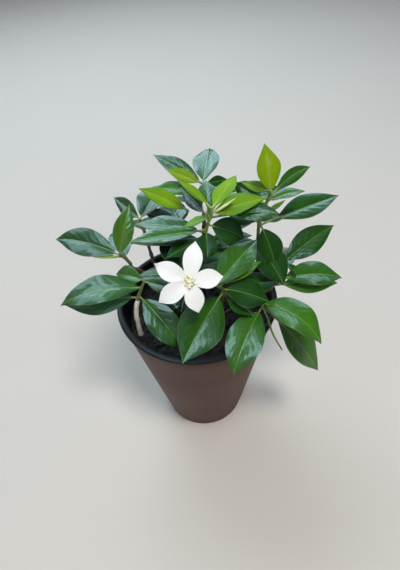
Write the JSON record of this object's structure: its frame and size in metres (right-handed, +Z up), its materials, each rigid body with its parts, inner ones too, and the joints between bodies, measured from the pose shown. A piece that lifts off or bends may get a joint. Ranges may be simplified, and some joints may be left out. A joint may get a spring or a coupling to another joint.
{
  "type": "potted star jasmine",
  "caption": "Bushy potted evergreen with glossy pointed leaves, lime young tips and a white five-petalled bloom, in a tapered brown cover pot with a black inner pot.",
  "frame": {"origin": "middle of the cover pot's flat base, on the ground", "axes": "+Z is up; -Y is the front, the side that the bloom faces; +X is to the right seen from the front"},
  "size_m": [0.2064, 0.1579, 0.2498],
  "materials": {
    "pot_brown": "satin",
    "pot_black": "soft gloss",
    "soil_dark": "matt crumbly potting soil",
    "bark_brown": "rough bark",
    "bark_pale": "smooth pale bark",
    "leaf_green": "glossy evergreen leaf",
    "young_leaf_green": "glossy young leaf",
    "petal_white": "soft matt petal",
    "throat_cream": "soft matt",
    "bud_white": "soft matt"
  },
  "bodies": {
    "root": {"cover_pot": "pot_brown", "nursery_pot": "pot_black", "soil": "soil_dark", "woody_stem_pale": "bark_pale", "woody_stem_left": "bark_brown", "woody_stem_centre": "bark_brown", "woody_stem_right": "bark_brown", "woody_stem_back": "bark_brown", "woody_stem_front": "bark_brown", "leafy_shoot_low_left": "leaf_green", "leafy_shoot_left": "leaf_green", "leafy_shoot_left_back": "leaf_green", "leafy_shoot_bloom": "leaf_green", "leafy_shoot_front": "leaf_green", "leafy_shoot_front_right": "leaf_green", "leafy_shoot_right": "leaf_green", "leafy_shoot_tall": "leaf_green", "leafy_shoot_top": "leaf_green", "leafy_shoot_back_left": "leaf_green", "leafy_shoot_back": "leaf_green", "leafy_shoot_back_right": "leaf_green", "young_tip_tall": "young_leaf_green", "young_tip_side": "young_leaf_green", "young_tip_top": "young_leaf_green", "young_tip_back_left": "young_leaf_green", "bloom_petals": "petal_white", "bloom_throat": "throat_cream", "flower_bud": "bud_white"}
  },
  "joints": []
}
